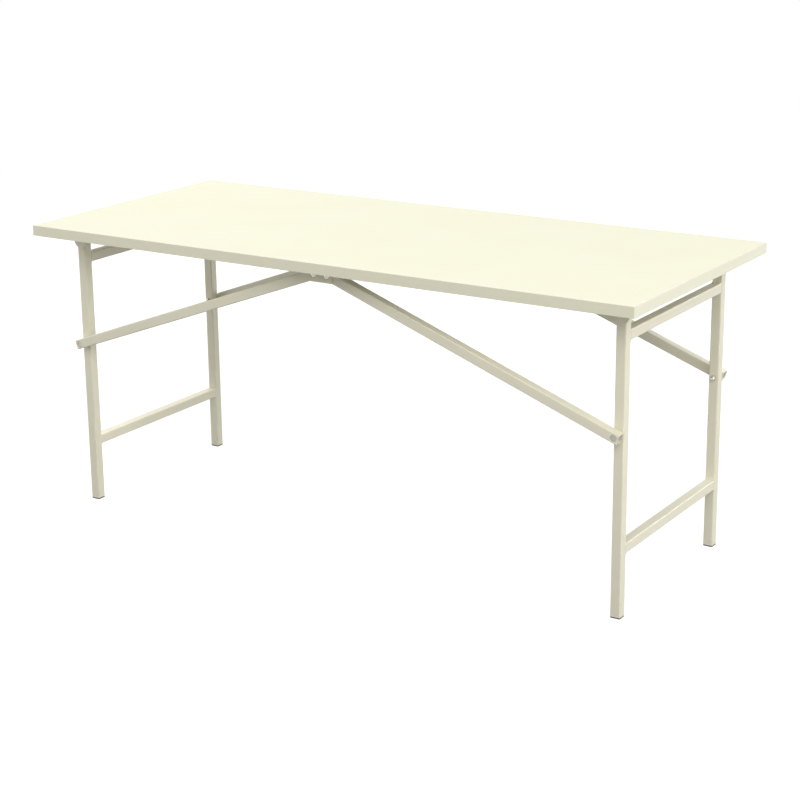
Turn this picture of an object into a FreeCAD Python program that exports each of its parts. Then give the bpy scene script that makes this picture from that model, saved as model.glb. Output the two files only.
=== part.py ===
# Folding trestle table: a laminated top on two hinged leg frames of square tube. Four braces pivot on
# brackets under the middle of the long sides and hook over studs on the legs to hold them open.
# Millimetres. X runs along the top, Y across it and Z up. The origin is on the floor under the middle.

import FreeCAD, Part
import Sketcher
import os
import re

from FreeCAD import Placement, Rotation, Vector

# Driving dimensions

sizes = {
    # top
    "table_height": 760,
    "top_length": 1700,
    "top_width": 736,
    "core_thickness": 25,
    "laminate_thickness": 0.8,
    "edge_band": 2,
    "edge_round": 1,
    # square tube of the legs, bars and braces
    "tube_side": 25,
    "tube_wall": 1.5,
    "tube_corner": 3,
    # leg frames: distances of the leg centre lines from the top's edges, and bar heights
    "end_overhang": 75,
    "side_overhang": 107.5,
    "crossbar_below_hinge": 46.5,
    "stretcher_height": 164,
    "glide_thickness": 3,
    "glide_insert": 15,
    "glide_wall": 2,
    "glide_fit": 0.1,
    # leg hinges
    "leg_top_gap": 12.4,
    "leg_above_hinge": 11,
    "hinge_gap": 0.3,
    "hinge_cheek_width": 39,
    "hinge_flange_depth": 40,
    "hinge_screw_edge": 8,
    "hinge_screw_first": 12,
    "flange_corner": 5,
    # bent sheet of all brackets
    "bracket_plate": 2,
    "bend_radius": 2,
    # centre brackets and brace pivots
    "pivot_clearance": 4.5,
    "bracket_below_pivot": 17,
    "bracket_beyond_pivot": 16,
    "centre_bracket_corner": 4,
    "centre_screw_edge": 10,
    "brace_end_gap": 16,
    "brace_side_gap": 0.3,
    # braces and the hook at their lower ends
    "brace_pass_gap": 0.5,
    "brace_tail": 11,
    "stud_height": 438,
    "notch_angle": 45.5,
    "notch_clearance": 0.4,
    "collar_clearance": 0.5,
    "access_hole_diameter": 17,
    # bolts, studs and pins
    "bolt_diameter": 8,
    "bolt_head_diameter": 14,
    "bolt_head_height": 4.5,
    "stud_collar_diameter": 18,
    "stud_collar_edge": 0.5,
    "stud_side_gap": 0.3,
    "bush_wall": 1.5,
    "running_fit": 0.05,
    "seated_fit": 0.02,
    "washer_diameter": 17,
    "washer_thickness": 1.6,
    "spacer_diameter": 16,
    "spacer_relief": 0.4,
    "nut_across_flats": 13,
    "nut_height": 6,
    "nut_collar_diameter": 11,
    "nut_collar_height": 2,
    "cap_diameter": 12,
    "cap_height": 5,
    "thread_end": 1.5,
    # wood screws
    "screw_head_diameter": 8,
    "screw_shank_diameter": 4,
    "screw_length": 18,
    "screw_tip": 4,
    "screw_point_diameter": 1,
    "screw_fit": 0.1,
    "recess_span": 4.6,
    "recess_width": 1.2,
    "recess_depth": 1.4,
}

# Positions and lengths that follow from the driving dimensions

derived = {
    "top_thickness": "core_thickness + 2 * laminate_thickness",
    "underside": "table_height - top_thickness",
    "board_length": "top_length - 2 * edge_band",
    "board_width": "top_width - 2 * edge_band",
    "tube_bore": "tube_side - 2 * tube_wall",
    "bore_corner": "tube_corner - tube_wall",
    "leg_x": "top_length / 2 - end_overhang",
    "leg_y": "top_width / 2 - side_overhang",
    "leg_inner": "leg_y - tube_side / 2",
    "leg_outer": "leg_y + tube_side / 2",
    "hinge_drop": "leg_above_hinge + leg_top_gap",
    "hinge_z": "underside - hinge_drop",
    "crossbar_height": "hinge_z - crossbar_below_hinge",
    "leg_length": "hinge_z + leg_above_hinge - glide_thickness",
    "cheek_inner": "leg_outer + hinge_gap",
    "cheek_outer": "cheek_inner + bracket_plate",
    "hinge_screw_half": "hinge_cheek_width / 2 - hinge_screw_edge",
    "hinge_screw_second": "hinge_flange_depth - hinge_screw_edge",
    "brace_inner": "cheek_outer + brace_pass_gap",
    "brace_y": "brace_inner + tube_side / 2",
    "brace_outer": "brace_inner + tube_side",
    "channel_half": "tube_side / 2 + brace_side_gap",
    "pivot_half_spacing": "brace_tail + brace_end_gap / 2",
    "pivot_drop": "bracket_plate + tube_side / 2 + pivot_clearance",
    "pivot_z": "underside - pivot_drop",
    "centre_bracket_depth": "pivot_drop + bracket_below_pivot",
    "centre_bracket_half": "pivot_half_spacing + bracket_beyond_pivot",
    "centre_screw_spacing": "centre_bracket_half - centre_screw_edge",
    "brace_run": "leg_x - pivot_half_spacing",
    "brace_fall": "pivot_z - stud_height",
    "brace_length": "hypot(brace_run; brace_fall)",
    "bolt_radius": "bolt_diameter / 2",
    "bore_radius": "bolt_radius + running_fit",
    "seat_radius": "bolt_radius + seated_fit",
    "bush_radius": "bolt_radius + bush_wall",
    "nut_circumradius": "nut_across_flats / sqrt(3)",
    "lock_nut_height": "nut_height + nut_collar_height",
    "glide_side": "tube_bore - 2 * glide_fit",
    "notch_half": "bolt_radius + notch_clearance",
    "collar_radius": "stud_collar_diameter / 2",
    "collar_slot_half": "collar_radius + collar_clearance",
    "screw_base": "underside - bracket_plate",
    "screw_in_top": "screw_length - bracket_plate",
    "screw_radius": "screw_shank_diameter / 2",
}

sides = {"left": -1, "right": 1}
depths = {"near": -1, "far": 1}
along_x, along_y, along_z = Vector(1, 0, 0), Vector(0, 1, 0), Vector(0, 0, 1)
tolerance = 1e-6

doc = FreeCAD.newDocument("folding_trestle_table")
sheet = doc.addObject("Spreadsheet::Sheet", "Sheet")
for row, (alias, number) in enumerate(sizes.items(), start=1):
    sheet.set(f"A{row}", alias)
    sheet.set(f"B{row}", str(number))
    sheet.setAlias(f"B{row}", alias)
doc.recompute()

nodes = []


# Expressions

def formula(text):
    """Writes a formula of size names as an expression on the sheet's cells."""
    def cell(match):
        word = match.group(0)
        if word in derived:
            return f"({formula(derived[word])})"
        return f"Sheet.{word}" if word in sizes else word
    return re.sub(r"[a-z_]+", cell, str(text))


def bind(item, **formulas):
    for name, text in formulas.items():
        item.setExpression(name, formula(text))
    return item


def at(item, x=0, y=0, z=0):
    for axis, text in zip("xyz", (x, y, z)):
        item.setExpression(f"Placement.Base.{axis}", formula(text))
    return item


def across(item, depth, x, reach, z, pointing=1):
    """Points an object's own Z outward, or inward, across the table, at reach from the middle."""
    item.Placement = Placement(Vector(), Rotation(along_x, -90 * depth * pointing))
    return at(item, x, f"{depth} * ({reach})", z)


def node(item, name):
    item.Label = name
    nodes.append(item)
    return item


# Solids from primitives

def box(name, length, width, height):
    return bind(doc.addObject("Part::Box", name), Length=length, Width=width, Height=height)


def cylinder(name, radius, height):
    return bind(doc.addObject("Part::Cylinder", name), Radius=radius, Height=height)


def cone(name, bottom, top, height):
    return bind(doc.addObject("Part::Cone", name), Radius1=bottom, Radius2=top, Height=height)


def dome(name, diameter, height):
    """A shallow dome: the top slice of a ball, with the slice's own flat at its foot."""
    radius = f"(({diameter})^2 / 4 + ({height})^2) / (2 * ({height}))"
    ball = doc.addObject("Part::Sphere", name)
    bind(ball, Radius=radius, Angle1=f"asin(1 - ({height}) / ({radius}))")
    return ball, f"{radius} - ({height})"


def fuse(name, pieces):
    union = doc.addObject("Part::MultiFuse", name)
    union.Shapes = pieces
    return union


def cut(name, base, tool):
    difference = doc.addObject("Part::Cut", name)
    difference.Base = base
    difference.Tool = tool
    return difference


def common(name, base, tool):
    shared = doc.addObject("Part::Common", name)
    shared.Base = base
    shared.Tool = tool
    return shared


def group(name, pieces):
    compound = doc.addObject("Part::Compound", name)
    compound.Links = pieces
    return node(compound, name)


# Bodies from sketches

def sketch_on(body, plane, offset="0"):
    sketch = body.newObject("Sketcher::SketchObject", "Sketch")
    support = next(feature for feature in body.Origin.OriginFeatures if feature.Role == plane)
    sketch.AttachmentSupport = [(support, "")]
    sketch.MapMode = "FlatFace"
    sketch.setExpression("AttachmentOffset.Base.z", formula(offset))
    return sketch


def place_point(sketch, geometry, point, x, y):
    """Sets a point of the sketch at x and y from the sketch's origin."""
    for kind, text in (("DistanceX", x), ("DistanceY", y)):
        index = sketch.addConstraint(Sketcher.Constraint(kind, -1, 1, geometry, point, 1.0))
        name = f"{kind}{index}"
        sketch.renameConstraint(index, name)
        sketch.setExpression(f"Constraints.{name}", formula(text))


def outline(sketch, corners):
    """Closed outline of straight lines through the corners, given as pairs of formulas."""
    count = len(corners)
    first = sketch.GeometryCount
    start = [Rotation(along_z, 360 * turn / count).multVec(along_x) for turn in range(count)]
    for turn in range(count):
        sketch.addGeometry(Part.LineSegment(start[turn], start[(turn + 1) % count]))
    for turn in range(count):
        following = first + (turn + 1) % count
        sketch.addConstraint(Sketcher.Constraint("Coincident", first + turn, 2, following, 1))
    for turn, (x, y) in enumerate(corners):
        place_point(sketch, first + turn, 1, x, y)


def rectangle(sketch, x_low, x_high, y_low, y_high):
    outline(sketch, [(x_low, y_low), (x_high, y_low), (x_high, y_high), (x_low, y_high)])


def square(sketch, side):
    rectangle(sketch, f"-({side}) / 2", f"({side}) / 2", f"-({side}) / 2", f"({side}) / 2")


def circle(sketch, radius, x="0", y="0"):
    geometry = sketch.addGeometry(Part.Circle(Vector(), along_z, 1))
    place_point(sketch, geometry, 3, x, y)
    index = sketch.addConstraint(Sketcher.Constraint("Radius", geometry, 1.0))
    sketch.renameConstraint(index, f"Radius{index}")
    sketch.setExpression(f"Constraints.Radius{index}", formula(radius))


def new_body(name):
    return node(doc.addObject("PartDesign::Body", name), name)


def pad(body, sketch, length, symmetric=False, reverse=False):
    feature = body.newObject("PartDesign::Pad", "Pad")
    feature.Profile = sketch
    feature.SideType = "Symmetric" if symmetric else "One side"
    feature.Reversed = reverse
    bind(feature, Length=length)
    doc.recompute()
    return feature


def check_cut(body, volume):
    doc.recompute()
    if body.Shape.Volume >= volume - tolerance:
        raise RuntimeError(f"a cut in {body.Label} removed nothing")


def cut_through(body, sketch):
    """Cuts the sketch's shape through the whole body, both ways."""
    volume = body.Shape.Volume
    feature = body.newObject("PartDesign::Pocket", "Pocket")
    feature.Profile = sketch
    feature.Type = "ThroughAll"
    feature.SideType = "Symmetric"
    check_cut(body, volume)


def cut_to(body, sketch, depth):
    """Cuts the sketch's shape into the body, against the sketch's normal."""
    volume = body.Shape.Volume
    feature = body.newObject("PartDesign::Pocket", "Pocket")
    feature.Profile = sketch
    bind(feature, Length=depth)
    check_cut(body, volume)


def countersink(body, x, y, z):
    """A countersunk screw hole through a plate whose lower face is at z."""
    volume = body.Shape.Volume
    feature = body.newObject("PartDesign::SubtractiveCone", "Countersink")
    bind(feature, Radius1="screw_head_diameter / 2 + screw_fit", Radius2="screw_radius + screw_fit",
         Height="bracket_plate")
    at(feature, x, y, z)
    check_cut(body, volume)


def straight_edges(shape, axis):
    """The straight edges along one axis, each with its name in the shape."""
    found = []
    for number, edge in enumerate(shape.Edges, start=1):
        if not isinstance(edge.Curve, Part.Line):
            continue
        if edge.tangentAt(edge.FirstParameter).cross(axis).Length < tolerance:
            found.append((f"Edge{number}", edge))
    return found


def sharp_edges(shape, axis):
    """The straight edges along one axis where two flat faces meet."""
    names = []
    for name, edge in straight_edges(shape, axis):
        faces = shape.ancestorsOfType(edge, Part.Face)
        if all(isinstance(face.Surface, Part.Plane) for face in faces):
            names.append(name)
    return names


def fillet(body, names, radius):
    base = body.Tip
    feature = body.newObject("PartDesign::Fillet", "Fillet")
    feature.Base = (base, names)
    bind(feature, Radius=radius)
    doc.recompute()


def square_tube(name, start, length):
    """A square tube along the body's own Z, with rounded corners inside and out."""
    body = new_body(name)
    section = sketch_on(body, "XY_Plane", start)
    square(section, "tube_side")
    pad(body, section, length)
    fillet(body, sharp_edges(body.Shape, along_z), "tube_corner")
    bore = sketch_on(body, "XY_Plane", start)
    square(bore, "tube_bore")
    cut_through(body, bore)
    fillet(body, sharp_edges(body.Shape, along_z), "bore_corner")
    return body


def cross_hole(body, radius, height):
    """A round hole across a tube, along Y, at a height along its own Z."""
    hole = sketch_on(body, "XZ_Plane")
    circle(hole, radius, "0", height)
    cut_through(body, hole)


# The top: core, laminates and edge bands

def screw_places():
    """Where the wood screws go up into the top, as pairs of formulas."""
    places = []
    for depth in depths.values():
        for side in sides.values():
            for across_flange in ("hinge_screw_first", "hinge_screw_second"):
                for half in (-1, 1):
                    places.append((f"{side} * leg_x + {half} * hinge_screw_half",
                                   f"{depth} * (cheek_inner + {across_flange})"))
        for step in (-1, 0, 1):
            places.append((f"{step} * centre_screw_spacing", f"{depth} * brace_y"))
    return places


def make_top():
    pilots = []
    for x, y in screw_places():
        pilot = cylinder("Pilot", "screw_radius + screw_fit", "screw_in_top")
        pilots.append(at(pilot, x, y, "underside"))
    holes = fuse("PilotHoles", pilots)

    def board(name, thickness, z):
        sheet_of_board = box(name, "board_length", "board_width", thickness)
        return at(sheet_of_board, "-board_length / 2", "-board_width / 2", z)

    backing = board("BackingSheet", "laminate_thickness", "underside")
    core = board("CoreBoard", "core_thickness", "underside + laminate_thickness")
    node(cut("TopCore", core, holes), "top_core")
    node(cut("BackingLaminate", backing, holes), "backing_laminate")
    node(board("TopLaminate", "laminate_thickness", "table_height - laminate_thickness"), "top_laminate")


def make_edge_band(name, length, turn, x, y):
    """A strip along the body's own X with its outer face at Y = 0 and its rounded edges there."""
    body = new_body(name)
    face = sketch_on(body, "XY_Plane")
    rectangle(face, f"-({length}) / 2", f"({length}) / 2", "0", "edge_band")
    pad(body, face, "top_thickness")
    lengthwise = straight_edges(body.Shape, along_x)
    fillet(body, [name for name, edge in lengthwise if edge.BoundBox.YMax < tolerance], "edge_round")
    body.Placement = Placement(Vector(), Rotation(along_z, turn))
    at(body, x, y, "underside")


def make_edge_bands():
    make_edge_band("edge_band_near", "top_length", 0, "0", "-top_width / 2")
    make_edge_band("edge_band_far", "top_length", 180, "0", "top_width / 2")
    make_edge_band("edge_band_right", "board_width", 90, "top_length / 2", "0")
    make_edge_band("edge_band_left", "board_width", -90, "-top_length / 2", "0")


def make_screws():
    """Countersunk wood screws with a cross recess in each head."""
    screws = []
    for x, y in screw_places():
        head = cone("ScrewHead", "screw_head_diameter / 2", "screw_radius", "bracket_plate")
        shank = cylinder("ScrewShank", "screw_radius", "screw_in_top - screw_tip")
        tip = cone("ScrewTip", "screw_radius", "screw_point_diameter / 2", "screw_tip")
        at(head, x, y, "screw_base")
        at(shank, x, y, "underside")
        at(tip, x, y, "underside + screw_in_top - screw_tip")
        slots = []
        for length, width in (("recess_span", "recess_width"), ("recess_width", "recess_span")):
            slot = box("RecessSlot", length, width, "recess_depth")
            slots.append(at(slot, f"{x} - {length} / 2", f"{y} - {width} / 2", "screw_base"))
        blank = fuse("ScrewBlank", [head, shank, tip])
        screws.append(cut("Screw", blank, fuse("Recess", slots)))
    group("bracket_screws", screws)


# Leg hinges

def make_hinge_bracket(name, side, depth):
    """A bent plate: a cheek with a round lower end beside the leg, and a flange under the top.
    Its own origin is on the hinge axis at the cheek's inner face, with +Y pointing outward."""
    body = new_body(name)
    half = "hinge_cheek_width / 2"
    upper = sketch_on(body, "XZ_Plane")
    rectangle(upper, f"-{half}", half, "0", "hinge_drop")
    pad(body, upper, "bracket_plate", reverse=True)
    lower = sketch_on(body, "XZ_Plane")
    circle(lower, half)
    pad(body, lower, "bracket_plate", reverse=True)
    flange = sketch_on(body, "XY_Plane", "hinge_drop - bracket_plate")
    rectangle(flange, f"-{half}", half, "0", "hinge_flange_depth")
    pad(body, flange, "bracket_plate")
    bends = sorted(straight_edges(body.Shape, along_x), key=lambda edge: edge[1].CenterOfMass.y)
    fillet(body, [bends[1][0]], "bend_radius")
    bends = sorted(straight_edges(body.Shape, along_x), key=lambda edge: edge[1].CenterOfMass.y)
    fillet(body, [bends[0][0]], "bend_radius + bracket_plate")
    tips = sorted(straight_edges(body.Shape, along_z), key=lambda edge: edge[1].CenterOfMass.y)
    fillet(body, [name for name, _ in tips[-2:]], "flange_corner")
    pin_hole = sketch_on(body, "XZ_Plane")
    circle(pin_hole, "seat_radius")
    cut_through(body, pin_hole)
    for y in ("hinge_screw_first", "hinge_screw_second"):
        for turn in (-1, 1):
            countersink(body, f"{turn} * hinge_screw_half", y, "hinge_drop - bracket_plate")
    body.Placement = Placement(Vector(), Rotation(along_z, 0 if depth > 0 else 180))
    at(body, f"{side} * leg_x", f"{depth} * cheek_inner", "hinge_z")


def nut_flats(depth, x, reach, z):
    """The hexagon of a nut whose seat is at reach, with the corners of its inner end turned off."""
    hexagon = doc.addObject("Part::Prism", "NutHexagon")
    hexagon.Polygon = 6
    bind(hexagon, Circumradius="nut_circumradius", Height="nut_height")
    turned = cone("NutChamfer", "nut_across_flats / 2", "nut_across_flats / 2 + nut_height * sqrt(3)",
                  "nut_height")
    for blank in (hexagon, turned):
        across(blank, depth, x, f"{reach} - nut_height", z)
    return common("NutFlats", hexagon, turned)


def lock_nut(depth, x, reach, z):
    """A nut with a nylon collar on its inner side, whose outer face is at reach."""
    flats = nut_flats(depth, x, reach, z)
    collar = cylinder("NutCollar", "nut_collar_diameter / 2", "lock_nut_height")
    bore = cylinder("NutBore", "seat_radius", "lock_nut_height")
    for round_piece in (collar, bore):
        across(round_piece, depth, x, f"{reach} - lock_nut_height", z)
    return cut("LockNut", fuse("NutBlank", [flats, collar]), bore)


def ring(name, depth, outer, inner, low, high, x, z):
    """A flat ring or sleeve across the table, from low to high from the middle."""
    length = f"({high}) - ({low})"
    blank = across(cylinder("RingBlank", outer, length), depth, x, low, z)
    bore = across(cylinder("RingBore", inner, length), depth, x, low, z)
    return cut(name, blank, bore)


def make_hinge_pins():
    """Pins set flush into the cheeks, each with a washer and a lock nut inside the leg."""
    pins, washers, nuts = [], [], []
    washer_outer = "leg_inner - hinge_gap"
    washer_inner = f"{washer_outer} - washer_thickness"
    for depth in depths.values():
        for side in sides.values():
            x = f"{side} * leg_x"
            pin_end = f"{washer_inner} - lock_nut_height - thread_end"
            pin = cylinder("HingePin", "bolt_radius", f"cheek_outer - ({pin_end})")
            pins.append(across(pin, depth, x, pin_end, "hinge_z"))
            washers.append(ring("HingeWasher", depth, "washer_diameter / 2", "seat_radius",
                                washer_inner, washer_outer, x, "hinge_z"))
            nuts.append(lock_nut(depth, x, washer_inner, "hinge_z"))
    group("hinge_pins", pins)
    group("hinge_washers", washers)
    group("hinge_lock_nuts", nuts)


# Leg frames

def make_foot_glide(name, x, y):
    """A moulded glide with its sole on the floor and a hollow insert that goes up the leg."""
    body = new_body(name)
    sole = sketch_on(body, "XY_Plane")
    square(sole, "tube_side")
    pad(body, sole, "glide_thickness", reverse=True)
    fillet(body, sharp_edges(body.Shape, along_z), "tube_corner")
    insert = sketch_on(body, "XY_Plane")
    square(insert, "glide_side")
    pad(body, insert, "glide_insert")
    upright = straight_edges(body.Shape, along_z)
    fillet(body, [name for name, edge in upright if edge.BoundBox.ZMin > -tolerance], "bore_corner")
    hollow = sketch_on(body, "XY_Plane", "glide_insert")
    square(hollow, "glide_side - 2 * glide_wall")
    cut_to(body, hollow, "glide_insert")
    at(body, x, y, "glide_thickness")


def make_leg_frame(side_name, side):
    x = f"{side} * leg_x"
    bushes, studs, spacers, caps = [], [], [], []
    for depth_name, depth in depths.items():
        corner = f"{depth_name}_{side_name}"
        leg = square_tube(f"leg_{corner}", "glide_thickness", "leg_length")
        cross_hole(leg, "bush_radius + seated_fit", "hinge_z")
        cross_hole(leg, "seat_radius", "stud_height")
        at(leg, x, f"{depth} * leg_y", "0")
        make_foot_glide(f"foot_glide_{corner}", x, f"{depth} * leg_y")
        bushes.append(ring("LegBush", depth, "bush_radius", "bore_radius", "leg_inner", "leg_outer",
                           x, "hinge_z"))
        spacers.append(ring("StudSpacer", depth, "spacer_diameter / 2", "seat_radius", "leg_outer",
                            "brace_inner - spacer_relief", x, "stud_height"))
        studs.append(make_stud(depth, x))
        caps.append(make_cap_nut(depth, x))
    for bar, height in (("crossbar", "crossbar_height"), ("stretcher", "stretcher_height")):
        tube = square_tube(f"{bar}_{side_name}", "-leg_inner", "2 * leg_inner")
        tube.Placement = Placement(Vector(), Rotation(along_x, -90))
        at(tube, x, "0", height)
    group(f"leg_bushes_{side_name}", bushes)
    group(f"hook_studs_{side_name}", studs)
    group(f"stud_spacers_{side_name}", spacers)
    group(f"stud_cap_nuts_{side_name}", caps)


def make_stud(depth, x):
    """A turned stud through the leg, whose thick collar lies inside the brace and keeps the hook on."""
    collar_inner = "brace_inner + tube_wall + stud_side_gap"
    collar_outer = "brace_outer - tube_wall - stud_side_gap"
    edge_start = f"{collar_outer} - stud_collar_edge"
    end = "leg_inner - nut_height"
    shank = cylinder("StudShank", "bolt_radius", f"{edge_start} - ({end})")
    collar = cylinder("StudCollar", "collar_radius", f"{edge_start} - ({collar_inner})")
    edge = cone("CollarEdge", "collar_radius", "collar_radius - stud_collar_edge", "stud_collar_edge")
    across(shank, depth, x, end, "stud_height")
    across(collar, depth, x, collar_inner, "stud_height")
    across(edge, depth, x, edge_start, "stud_height")
    return fuse("HookStud", [shank, collar, edge])


def make_cap_nut(depth, x):
    """A closed nut inside the leg, with its dome pointing to the middle of the table."""
    foot = "leg_inner - nut_height"
    flats = nut_flats(depth, x, "leg_inner", "stud_height")
    ball, sunk = dome("CapDome", "cap_diameter", "cap_height")
    across(ball, depth, x, f"{foot} + {sunk}", "stud_height", pointing=-1)
    bore = across(cylinder("CapBore", "seat_radius", "nut_height"), depth, x, foot, "stud_height")
    return cut("CapNut", fuse("CapBlank", [flats, ball]), bore)


# Centre brackets and brace pivots

def make_centre_bracket(name, depth):
    """A channel under the edge of the top that holds the upper ends of two braces.
    Its own origin is on the top's underside, over the middle of the channel."""
    body = new_body(name)
    inner, outer = "channel_half", "(channel_half + bracket_plate)"
    profile = sketch_on(body, "YZ_Plane")
    outline(profile, [(f"-{outer}", "0"), (f"-{outer}", "-centre_bracket_depth"),
                      (f"-{inner}", "-centre_bracket_depth"), (f"-{inner}", "-bracket_plate"),
                      (inner, "-bracket_plate"), (inner, "-centre_bracket_depth"),
                      (outer, "-centre_bracket_depth"), (outer, "0")])
    pad(body, profile, "2 * centre_bracket_half", symmetric=True)
    lengthwise = sorted(straight_edges(body.Shape, along_x), key=lambda edge: -edge[1].CenterOfMass.z)
    fillet(body, [name for name, _ in lengthwise[:2]], "bend_radius + bracket_plate")
    inside = [edge for edge in straight_edges(body.Shape, along_x)
              if edge[0] in sharp_edges(body.Shape, along_x)]
    inside.sort(key=lambda edge: -edge[1].CenterOfMass.z)
    fillet(body, [name for name, _ in inside[:2]], "bend_radius")
    corners = sorted(straight_edges(body.Shape, along_y), key=lambda edge: edge[1].CenterOfMass.z)
    fillet(body, [name for name, _ in corners[:4]], "centre_bracket_corner")
    pivots = sketch_on(body, "XZ_Plane")
    for side in sides.values():
        circle(pivots, "seat_radius", f"{side} * pivot_half_spacing", "-pivot_drop")
    cut_through(body, pivots)
    for step in (-1, 0, 1):
        countersink(body, f"{step} * centre_screw_spacing", "0", "-bracket_plate")
    at(body, "0", f"{depth} * brace_y", "underside")


def make_pivot_bolts():
    bolts, nuts = [], []
    seat = "brace_y + channel_half + bracket_plate"
    foot = "brace_y - channel_half - bracket_plate"
    end = f"{foot} - lock_nut_height - thread_end"
    for depth in depths.values():
        for side in sides.values():
            x = f"{side} * pivot_half_spacing"
            head, sunk = dome("PivotHead", "bolt_head_diameter", "bolt_head_height")
            across(head, depth, x, f"{seat} - ({sunk})", "pivot_z")
            shank = cylinder("PivotShank", "bolt_radius", f"{seat} - ({end})")
            across(shank, depth, x, end, "pivot_z")
            bolts.append(fuse("PivotBolt", [head, shank]))
            nuts.append(lock_nut(depth, x, foot, "pivot_z"))
    group("brace_pivot_bolts", bolts)
    group("brace_pivot_nuts", nuts)


# Braces

def slanting_slot(sketch, side, half):
    """A slot from the stud's place back and down, out through the brace's lower edge."""
    down, back = "sin(notch_angle * 1 deg)", "cos(notch_angle * 1 deg)"
    length = f"((tube_side / 2 + {half}) / {down})"
    outline(sketch, [(f"{side} * ({shift} * {half} * {back} + {reach} * {length} * {down})",
                      f"brace_length + {shift} * {half} * {down} - {reach} * {length} * {back}")
                     for shift, reach in ((-1, 0), (1, 0), (1, 1), (-1, 1))])


def make_brace(corner, side, depth):
    """A tube with a pivot hole at the top and a hook at the bottom: a narrow slanting notch in the wall
    beside the leg, a wider slot for the stud's collar in the lower wall and a round hole in the outer wall.
    The brace's own Z runs down it from the pivot, and its own X points down on the right of the table
    and up on the left."""
    brace = square_tube(f"brace_{corner}", "-brace_tail", "brace_length + 2 * brace_tail")
    cross_hole(brace, "bush_radius + seated_fit", "0")

    def cut_band(low, high, draw, *details):
        """Cuts what draw puts on a sketch between two distances from the tube's middle toward the legs."""
        start = low if depth < 0 else f"-({high})"
        band = sketch_on(brace, "XZ_Plane", f"-({start})")
        draw(band, *details)
        cut_to(brace, band, f"({high}) - ({low})")

    wall, skin = "tube_bore / 2", "tube_side / 2"
    cut_band(wall, skin, circle, "notch_half", "0", "brace_length")
    cut_band(wall, skin, slanting_slot, side, "notch_half")
    cut_band(f"-{wall}", wall, slanting_slot, side, "collar_slot_half")
    cut_band(f"-{skin}", f"-{wall}", circle, "access_hole_diameter / 2", "0", "brace_length")
    brace.Placement = Placement(Vector(), Rotation(Vector(0, side, 0), 90))
    brace.setExpression("Placement.Rotation.Angle", formula("90 deg + atan2(brace_fall; brace_run)"))
    at(brace, f"{side} * pivot_half_spacing", f"{depth} * brace_y", "pivot_z")
    bush = ring("BraceBush", depth, "bush_radius", "bore_radius", "brace_inner", "brace_outer",
                f"{side} * pivot_half_spacing", "pivot_z")
    node(bush, f"brace_bush_{corner}")


# Build everything

make_top()
make_edge_bands()
make_screws()
make_hinge_pins()
make_pivot_bolts()
for depth_name, depth in depths.items():
    make_centre_bracket(f"centre_bracket_{depth_name}", depth)
    for side_name, side in sides.items():
        corner = f"{depth_name}_{side_name}"
        make_hinge_bracket(f"hinge_bracket_{corner}", side, depth)
        make_brace(corner, side, depth)
for side_name, side in sides.items():
    make_leg_frame(side_name, side)
doc.recompute()

# Check every object and write one file for each node

for item in doc.Objects:
    if "Invalid" in item.State or "Error" in item.State:
        raise RuntimeError(f"{item.Label} failed: {item.State}")
for item in nodes:
    if item.Shape.isNull() or not item.Shape.isValid() or not item.Shape.Solids:
        raise RuntimeError(f"{item.Label} has no valid solid")

os.makedirs("parts", exist_ok=True)
for item in nodes:
    item.Shape.exportStep(os.path.join("parts", f"{item.Label}.step"))
print(f"{len(nodes)} nodes, {sum(len(item.Shape.Solids) for item in nodes)} solids")
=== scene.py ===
# Folding trestle table: finishes, weld beads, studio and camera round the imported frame
import math
import bpy
from mathutils import Matrix, Vector


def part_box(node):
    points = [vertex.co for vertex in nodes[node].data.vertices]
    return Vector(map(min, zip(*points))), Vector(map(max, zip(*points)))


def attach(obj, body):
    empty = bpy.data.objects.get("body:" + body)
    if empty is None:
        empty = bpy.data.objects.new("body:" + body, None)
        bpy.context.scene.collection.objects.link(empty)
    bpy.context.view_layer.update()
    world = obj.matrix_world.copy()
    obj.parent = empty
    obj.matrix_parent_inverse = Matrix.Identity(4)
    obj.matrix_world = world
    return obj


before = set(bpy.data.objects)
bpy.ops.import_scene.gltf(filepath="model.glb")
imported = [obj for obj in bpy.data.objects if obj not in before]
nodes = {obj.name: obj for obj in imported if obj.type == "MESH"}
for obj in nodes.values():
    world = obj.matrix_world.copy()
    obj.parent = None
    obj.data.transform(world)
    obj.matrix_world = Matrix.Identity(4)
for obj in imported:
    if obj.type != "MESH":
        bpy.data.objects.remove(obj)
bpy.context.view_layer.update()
mm = 0.001
print("frame loaded,", len(nodes), "nodes")


# Shared helpers for every material
noiseSpread = (0.3, 0.7)     # nearly all values of a noise pattern lie between these
mixFactor, mixFirst, mixSecond, mixResult = 0, 6, 7, 2     # sockets of a Mix node set to colours


def linearColour(hexText):
    channels = [int(hexText[i:i + 2], 16) / 255 for i in (1, 3, 5)]
    linear = [c / 12.92 if c <= 0.04045 else ((c + 0.055) / 1.055) ** 2.4 for c in channels]
    return (*linear, 1.0)


def perMetre(sizeInMm):
    return 1 / (sizeInMm * mm)     # a pattern scale that gives features of this size


def addNode(tree, kind, settings=None, links=None):
    node = tree.nodes.new(kind)
    for name, value in (settings or {}).items():
        if isinstance(name, int) or name in node.inputs:
            node.inputs[name].default_value = value
        else:
            setattr(node, name, value)
    for name, socket in (links or {}).items():
        tree.links.new(socket, node.inputs[name])
    return node


def startMaterial(name):
    material = bpy.data.materials.new(name)
    material.use_nodes = True
    tree = material.node_tree
    tree.nodes.clear()
    shader = addNode(tree, "ShaderNodeBsdfPrincipled")
    addNode(tree, "ShaderNodeOutputMaterial", links={"Surface": shader.outputs["BSDF"]})
    place = addNode(tree, "ShaderNodeTexCoord").outputs["Object"]     # metres in the table's own frame
    return material, tree, shader, place


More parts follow.
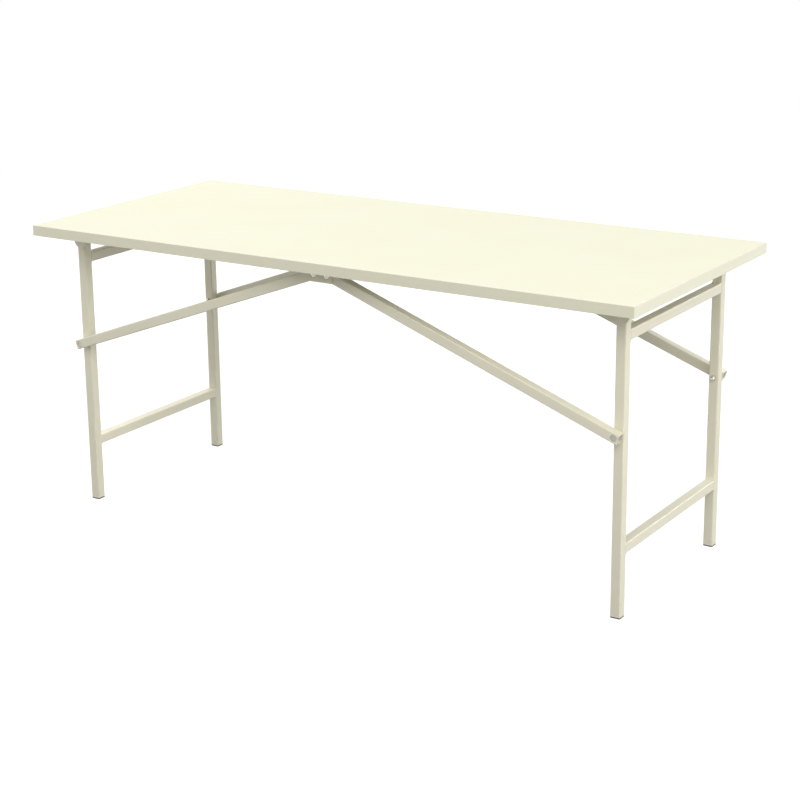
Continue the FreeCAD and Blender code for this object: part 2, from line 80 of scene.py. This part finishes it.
# Joins the patterns to the shader; each relief is a pattern, its bump strength and its height in mm
def dressShader(tree, shader, look, tonePattern, reliefs, glossPattern=None):
    first, second = look["colours"]
    tone = addNode(tree, "ShaderNodeMix", {"data_type": "RGBA", mixFirst: linearColour(first),
                                           mixSecond: linearColour(second)}, {mixFactor: tonePattern})
    tree.links.new(tone.outputs[mixResult], shader.inputs["Base Color"])
    if glossPattern is None:
        shader.inputs["Roughness"].default_value = look["roughness"]
    else:
        smoothest, roughest = look["roughness"]
        gloss = addNode(tree, "ShaderNodeMapRange", {"From Min": noiseSpread[0], "From Max": noiseSpread[1],
                                                     "To Min": smoothest, "To Max": roughest},
                        {"Value": glossPattern})
        tree.links.new(gloss.outputs["Result"], shader.inputs["Roughness"])
    under = {}
    for pattern, strength, height in reliefs:
        relief = addNode(tree, "ShaderNodeBump", {"Strength": strength, "Distance": height * mm},
                         {"Height": pattern, **under})
        under = {"Normal": relief.outputs["Normal"]}
    tree.links.new(under["Normal"], shader.inputs["Normal"])


# Melamine laminate, pressed against an etched steel plate: a flat satin cream with a faint pebble
laminateLook = {
    "colours": ("#F1F0D9", "#EEECD3"),
    "cloud": 160,            # mm, slow drift of the printed paper's tone
    "pebble": 1.5,           # mm, really about 0.4, drawn coarser so that it shows
    "pebbleHeight": 0.012,   # mm
    "pebbleBump": 0.6,
    "roughness": (0.68, 0.8),
    "ior": 1.5,
}
# Backing laminate, a plainer sheet pressed on the underside so that the board stays flat: duller, coarser
backingLook = dict(laminateLook, colours=("#E9E7D2", "#E3E0C9"), cloud=110, pebble=2.2,
                   roughness=(0.72, 0.84))


def melamineLaminate(name, look):
    material, tree, shader, place = startMaterial(name)
    cloud = addNode(tree, "ShaderNodeTexNoise", {"Scale": perMetre(look["cloud"]), "Detail": 2.0},
                    {"Vector": place}).outputs["Fac"]
    pebble = addNode(tree, "ShaderNodeTexNoise", {"Scale": perMetre(look["pebble"]), "Detail": 3.0},
                     {"Vector": place}).outputs["Fac"]
    shader.inputs["IOR"].default_value = look["ior"]
    dressShader(tree, shader, look, cloud, [(pebble, look["pebbleBump"], look["pebbleHeight"])], pebble)
    return material


# Particle board, wood chips pressed in resin: a dry speckle of brown and straw chips
boardLook = {
    "colours": ("#8C6A43", "#C9AE84"),
    "chip": 3.5,             # mm
    "chipHeight": 0.15,      # mm
    "chipBump": 0.8,
    "dust": 0.8,             # mm
    "darkest": 0.1,          # chip times dust that shows as the brown
    "palest": 0.45,          # chip times dust that shows as the straw
    "roughness": 0.85,
    "ior": 1.5,
}


def particleBoard(name, look):
    material, tree, shader, place = startMaterial(name)
    chips = addNode(tree, "ShaderNodeTexVoronoi", {"Scale": perMetre(look["chip"]), "Randomness": 1.0},
                    {"Vector": place})
    dust = addNode(tree, "ShaderNodeTexNoise", {"Scale": perMetre(look["dust"]), "Detail": 2.0},
                   {"Vector": place}).outputs["Fac"]
    grey = addNode(tree, "ShaderNodeRGBToBW", links={"Color": chips.outputs["Color"]}).outputs["Val"]
    blend = addNode(tree, "ShaderNodeMath", {"operation": "MULTIPLY"}, {0: grey, 1: dust})
    speckle = addNode(tree, "ShaderNodeMapRange", {"From Min": look["darkest"], "From Max": look["palest"]},
                      {"Value": blend.outputs["Value"]}).outputs["Result"]
    shader.inputs["IOR"].default_value = look["ior"]
    dressShader(tree, shader, look, speckle, [(grey, look["chipBump"], look["chipHeight"])])
    return material


# ABS edge band, extruded and glued on: faint draw lines along its length and a satin face
edgeBandLook = {
    "colours": ("#EAE8D1", "#E5E3CA"),
    "line": 1.2,             # mm across a draw line, really about 0.3, drawn coarser so that it shows
    "lineLength": 90,        # mm
    "lineHeight": 0.01,      # mm
    "lineBump": 0.6,
    "roughness": (0.38, 0.5),
    "ior": 1.52,
}


def absEdgeBand(name, look):
    material, tree, shader, place = startMaterial(name)
    across = perMetre(look["line"])
    along = perMetre(look["lineLength"])
    stretch = addNode(tree, "ShaderNodeMapping", {"Scale": (along, along, across)}, {"Vector": place})
    lines = addNode(tree, "ShaderNodeTexNoise", {"Scale": 1.0, "Detail": 2.0},
                    {"Vector": stretch.outputs["Vector"]}).outputs["Fac"]
    shader.inputs["IOR"].default_value = look["ior"]
    dressShader(tree, shader, look, lines, [(lines, look["lineBump"], look["lineHeight"])], lines)
    return material


# Polyester powder coat, sprayed and baked on steel: an even cream skin with orange peel in its gloss
tubeCoatLook = {
    "colours": ("#ECE8D3", "#E7E2CA"),
    "cloud": 70,             # mm, where the coat is thicker or thinner
    "peel": 3.2,             # mm across a bump of the orange peel
    "peelHeight": 0.03,      # mm
    "peelBump": 0.7,
    "grit": 0.9,             # mm, fine dust baked in
    "gritHeight": 0.006,     # mm
    "gritBump": 0.5,
    "roughness": (0.34, 0.46),
    "ior": 1.5,
}
# The same coat on the small plates, where the peel sets finer
bracketCoatLook = dict(tubeCoatLook, cloud=30, peel=2.4, peelHeight=0.025)


def powderCoat(name, look):
    material, tree, shader, place = startMaterial(name)
    cloud = addNode(tree, "ShaderNodeTexNoise", {"Scale": perMetre(look["cloud"]), "Detail": 2.0},
                    {"Vector": place}).outputs["Fac"]
    peel = addNode(tree, "ShaderNodeTexNoise", {"Scale": perMetre(look["peel"]), "Detail": 1.0},
                   {"Vector": place}).outputs["Fac"]
    grit = addNode(tree, "ShaderNodeTexNoise", {"Scale": perMetre(look["grit"]), "Detail": 2.0},
                   {"Vector": place}).outputs["Fac"]
    shader.inputs["IOR"].default_value = look["ior"]
    reliefs = [(peel, look["peelBump"], look["peelHeight"]), (grit, look["gritBump"], look["gritHeight"])]
    dressShader(tree, shader, look, cloud, reliefs, grit)
    return material


# Zinc on steel, plated in a barrel and passivated: a dull grey with a faint straw tint and small knocks
zincLook = {
    "colours": ("#B9B7B0", "#BDB6A5"),
    "tint": 7,               # mm
    "knock": 1.1,            # mm
    "knockHeight": 0.02,     # mm
    "knockBump": 0.5,
    "roughness": (0.24, 0.36),
    "metallic": 1.0,
}
# The same zinc on the hook studs, rougher, with its colour darkened as painted shade for the shade the
# studs sit in behind the braces
shadedStudZincLook = dict(zincLook, colours=("#AAA8A4", "#A8A299"), roughness=(0.34, 0.48))


def zincPlate(name, look):
    material, tree, shader, place = startMaterial(name)
    tint = addNode(tree, "ShaderNodeTexNoise", {"Scale": perMetre(look["tint"]), "Detail": 2.0},
                   {"Vector": place}).outputs["Fac"]
    knocks = addNode(tree, "ShaderNodeTexVoronoi", {"Scale": perMetre(look["knock"])},
                     {"Vector": place}).outputs["Distance"]
    shader.inputs["Metallic"].default_value = look["metallic"]
    dressShader(tree, shader, look, tint, [(knocks, look["knockBump"], look["knockHeight"])], tint)
    return material


# Polyethylene, injection moulded in a spark-eroded tool: an even, slightly waxy matt grain
glideLook = {
    "colours": ("#4A4A48", "#3E3E3D"),
    "grain": 0.9,            # mm, really about 0.1, drawn coarser so that it shows
    "grainHeight": 0.02,     # mm
    "grainBump": 0.6,
    "flow": 9,               # mm, flow marks from the gate
    "roughness": (0.45, 0.6),
    "ior": 1.51,
}


def mouldedPolyethylene(name, look):
    material, tree, shader, place = startMaterial(name)
    grain = addNode(tree, "ShaderNodeTexNoise", {"Scale": perMetre(look["grain"]), "Detail": 2.0},
                    {"Vector": place}).outputs["Fac"]
    flow = addNode(tree, "ShaderNodeTexNoise", {"Scale": perMetre(look["flow"]), "Detail": 1.0},
                   {"Vector": place}).outputs["Fac"]
    shader.inputs["IOR"].default_value = look["ior"]
    dressShader(tree, shader, look, flow, [(grain, look["grainBump"], look["grainHeight"])], grain)
    return material


finishes = {
    "top_laminate": melamineLaminate("creamMelamineLaminate", laminateLook),
    "backing_laminate": melamineLaminate("dullBackingLaminate", backingLook),
    "board_core": particleBoard("pressedParticleBoard", boardLook),
    "edge_band": absEdgeBand("extrudedAbsBand", edgeBandLook),
    "painted_tube": powderCoat("creamPowderCoatTube", tubeCoatLook),
    "painted_bracket": powderCoat("creamPowderCoatPlate", bracketCoatLook),
    "zinc_steel": zincPlate("dullZincPlate", zincLook),
    "foot_glide": mouldedPolyethylene("darkMouldedPolyethylene", glideLook),
}
# Zinc for the hook studs, its colour darkened as painted shade
shadedStudZinc = zincPlate("shadedStudZincPlate", shadedStudZincLook)
for nodeName, node in nodes.items():
    for materialSlot in node.material_slots:
        finish = finishes[materialSlot.material.name]
        # the hook studs take the zinc darkened as painted shade
        materialSlot.material = shadedStudZinc if nodeName.startswith("hook_studs") else finish
print("finishes made:", len(finishes) + 1)


# Weld beads where each crossbar and stretcher butts against its legs, left as welded and painted over
weldLook = {
    "size": 2.0,             # mm, from the corner to the outside of the bead
    "ripple": 0.22,          # mm, height of the frozen ripples
    "rippleMiddle": 0.6,     # share of a ripple's height that lies inside the bead's size
    "pitch": 2.2,            # mm from ripple to ripple
    "inset": 0.9,            # mm, how far the flush side seams sit inside the tube's sides
    "corner": 3.5,           # mm, radius of the bead's way round the tube's corners
    "step": 0.6,             # mm along the bead between rings
    "ringSides": 10,
}


# Points round a tube's end, counterclockwise, each with its outward direction
def roundedLoop(halfWide, halfHigh, radius, step):
    points = []
    quarterTurn = math.pi / 2
    arcSteps = max(1, round(quarterTurn * radius / step))
    flatWide, flatHigh = 2 * (halfWide - radius), 2 * (halfHigh - radius)
    corners = ((1, 1, flatWide), (-1, 1, flatHigh), (-1, -1, flatWide), (1, -1, flatHigh))
    for k, (signX, signZ, flat) in enumerate(corners):     # a corner's arc, then the flat that follows it
        centre = Vector((signX * flatWide / 2, signZ * flatHigh / 2))
        for i in range(arcSteps + 1):
            angle = quarterTurn * (k + i / arcSteps)
            outward = Vector((math.cos(angle), math.sin(angle)))
            points.append((centre + radius * outward, outward))
        arcEnd, outward = points[-1]
        along = Vector((-outward.y, outward.x))
        flatSteps = max(1, round(flat / step))
        for i in range(1, flatSteps):
            points.append((arcEnd + along * (flat * i / flatSteps), outward))
    return points


def weldBead(name, bar, atLowEnd, body, look):
    low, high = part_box(bar)
    middle = (low + high) / 2
    seamY = low.y if atLowEnd else high.y
    halfWide = (high.x - low.x) / 2 - look["inset"] * mm
    halfHigh = (high.z - low.z) / 2
    loop = roundedLoop(halfWide, halfHigh, look["corner"] * mm, look["step"] * mm)
    sides = look["ringSides"]
    travelled = 0.0
    previous = loop[-1][0]
    vertices = []
    for point, outward in loop:
        travelled += (point - previous).length
        previous = point
        wave = abs(math.sin(math.pi * travelled / (look["pitch"] * mm)))
        radius = (look["size"] + look["ripple"] * (wave - look["rippleMiddle"])) * mm
        for i in range(sides):
            angle = 2 * math.pi * i / sides
            across = point + outward * (radius * math.cos(angle))
            vertices.append((middle.x + across.x, seamY + radius * math.sin(angle), middle.z + across.y))
    rings = len(loop)
    faces = []
    for ring in range(rings):
        after = (ring + 1) % rings
        for i in range(sides):
            j = (i + 1) % sides
            faces.append((ring * sides + i, after * sides + i, after * sides + j, ring * sides + j))
    mesh = bpy.data.meshes.new(name)
    mesh.from_pydata(vertices, [], faces)
    mesh.shade_smooth()
    mesh.materials.append(finishes["painted_tube"])
    bead = bpy.data.objects.new(name, mesh)
    bpy.context.scene.collection.objects.link(bead)
    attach(bead, body)
    return bead


beads = []
for side in ("left", "right"):
    for bar in ("crossbar", "stretcher"):
        for corner, atLowEnd in (("near", True), ("far", False)):
            beads.append(weldBead(f"weld_{bar}_{corner}_{side}", f"{bar}_{side}", atLowEnd,
                                  f"{side}_leg_frame", weldLook))
print("weld beads laid:", len(beads))


# Studio: a floor that shows as white, a dim even room and six soft boxes round the table
studio = {
    "floorHalf": 4.5,            # m
    "floorBounce": "#7C7C7A",    # what the floor gives back to the table
    "floorShown": "#8C8C8C",     # the share of the shown floor that takes the table's shadow
    "floorGlow": 0.88,           # the rest of the shown floor, plain white
    "roomColour": "#FFFFFF",
    "roomStrength": 0.18,        # what the room gives to the table
    "roomShown": 1.0,            # what the camera and mirrors see of it, plain white
    "aim": (0.0, 0.0, 0.5),      # m, the point that every soft box faces
}
softBoxes = {                    # turn in degrees round from +X, lift in degrees, metres and watts
    "backBox": {"turn": 150, "lift": 50, "away": 7.0, "size": (4.0, 4.0), "power": 284},
    "frontBox": {"turn": 300, "lift": 38, "away": 6.0, "size": (5.0, 3.5), "power": 152},
    "rightBox": {"turn": 342, "lift": 23, "away": 6.0, "size": (5.0, 3.5), "power": 116},
    "lowRightBox": {"turn": 350, "lift": 10, "away": 6.0, "size": (5.0, 2.6), "power": 75},
    "leftBox": {"turn": 210, "lift": 8, "away": 6.0, "size": (5.0, 2.6), "power": 98},
    "rearBox": {"turn": 75, "lift": 8, "away": 6.0, "size": (5.0, 2.6), "power": 168},
}


# 1 for what the camera, mirrors and glass see, 0 for what lights the table
def shownFactor(tree):
    path = addNode(tree, "ShaderNodeLightPath")
    mirror = addNode(tree, "ShaderNodeMath", {"operation": "MAXIMUM"},
                     {0: path.outputs["Is Glossy Ray"], 1: path.outputs["Is Transmission Ray"]})
    return addNode(tree, "ShaderNodeMath", {"operation": "MAXIMUM"},
                   {0: path.outputs["Is Camera Ray"], 1: mirror.outputs["Value"]}).outputs["Value"]


def paleFloor(look):
    half = look["floorHalf"]
    mesh = bpy.data.meshes.new("paleFloor")
    mesh.from_pydata([(-half, -half, 0), (half, -half, 0), (half, half, 0), (-half, half, 0)], [],
                     [(0, 1, 2, 3)])
    floor = bpy.data.objects.new("paleFloor", mesh)
    bpy.context.scene.collection.objects.link(floor)
    material = bpy.data.materials.new("matStudioFloor")
    material.use_nodes = True
    tree = material.node_tree
    tree.nodes.clear()
    bounce = addNode(tree, "ShaderNodeBsdfDiffuse", {"Color": linearColour(look["floorBounce"])})
    shaded = addNode(tree, "ShaderNodeBsdfDiffuse", {"Color": linearColour(look["floorShown"])})
    glow = addNode(tree, "ShaderNodeEmission", {"Strength": look["floorGlow"]})
    shown = addNode(tree, "ShaderNodeAddShader",
                    links={0: shaded.outputs["BSDF"], 1: glow.outputs["Emission"]})
    above = addNode(tree, "ShaderNodeMixShader",
                    links={0: shownFactor(tree), 1: bounce.outputs["BSDF"], 2: shown.outputs["Shader"]})
    below = addNode(tree, "ShaderNodeBsdfTransparent")     # the table's underside shows from below
    facing = addNode(tree, "ShaderNodeNewGeometry")
    either = addNode(tree, "ShaderNodeMixShader",
                     links={0: facing.outputs["Backfacing"], 1: above.outputs["Shader"],
                            2: below.outputs["BSDF"]})
    addNode(tree, "ShaderNodeOutputMaterial", links={"Surface": either.outputs["Shader"]})
    mesh.materials.append(material)


def evenRoom(look):
    world = bpy.data.worlds.new("evenRoom")
    world.use_nodes = True
    tree = world.node_tree
    tree.nodes.clear()
    colour = linearColour(look["roomColour"])
    room = addNode(tree, "ShaderNodeBackground", {"Color": colour, "Strength": look["roomStrength"]})
    shown = addNode(tree, "ShaderNodeBackground", {"Color": colour, "Strength": look["roomShown"]})
    either = addNode(tree, "ShaderNodeMixShader",
                     links={0: shownFactor(tree), 1: room.outputs["Background"],
                            2: shown.outputs["Background"]})
    addNode(tree, "ShaderNodeOutputWorld", links={"Surface": either.outputs["Shader"]})
    bpy.context.scene.world = world


def softBox(name, look, aim):
    turn, lift = math.radians(look["turn"]), math.radians(look["lift"])
    toward = Vector((math.cos(lift) * math.cos(turn), math.cos(lift) * math.sin(turn), math.sin(lift)))
    lamp = bpy.data.lights.new(name, "AREA")
    lamp.shape = "RECTANGLE"
    lamp.size, lamp.size_y = look["size"]
    lamp.energy = look["power"]
    box = bpy.data.objects.new(name, lamp)
    box.location = Vector(aim) + look["away"] * toward
    box.rotation_euler = toward.to_track_quat("Z", "Y").to_euler()
    bpy.context.scene.collection.objects.link(box)


paleFloor(studio)
evenRoom(studio)
for name, look in softBoxes.items():
    softBox(name, look, studio["aim"])
bpy.context.scene.view_settings.view_transform = "Standard"
print("studio lit by", len(softBoxes), "soft boxes")


# Camera at the photograph's viewpoint, worked out from the table's corners and feet
cameraView = {
    "place": (2.50075, -3.86785, 1.73632),     # m
    "turn": 32.6185,                           # degrees to the left of straight along +Y
    "tilt": 15.785,                            # degrees down
    "roll": -0.6073,                           # degrees
    "sensor": 36.0,                            # mm
    "focalPixels": 1885.483,
    "frame": 800,                              # pixels each way
    "centre": (398.648, 359.213),              # pixel where the lens axis meets the photograph
}


def photoCamera(look):
    turn, tilt, roll = (math.radians(look[name]) for name in ("turn", "tilt", "roll"))
    forward = Vector((-math.sin(turn) * math.cos(tilt), math.cos(turn) * math.cos(tilt), -math.sin(tilt)))
    level = Vector((math.cos(turn), math.sin(turn), 0))
    upright = level.cross(forward)
    right = level * math.cos(roll) + upright * math.sin(roll)
    up = upright * math.cos(roll) - level * math.sin(roll)
    centreX, centreY = look["centre"]
    lens = bpy.data.cameras.new("photoCamera")
    lens.sensor_width = look["sensor"]
    lens.lens = look["focalPixels"] / look["frame"] * look["sensor"]
    lens.shift_x = 0.5 - centreX / look["frame"]
    lens.shift_y = centreY / look["frame"] - 0.5
    camera = bpy.data.objects.new("photoCamera", lens)
    turned = Matrix((right, up, -forward)).transposed().to_4x4()
    camera.matrix_world = Matrix.Translation(look["place"]) @ turned
    bpy.context.scene.collection.objects.link(camera)
    bpy.context.scene.camera = camera


photoCamera(cameraView)
print("camera set")
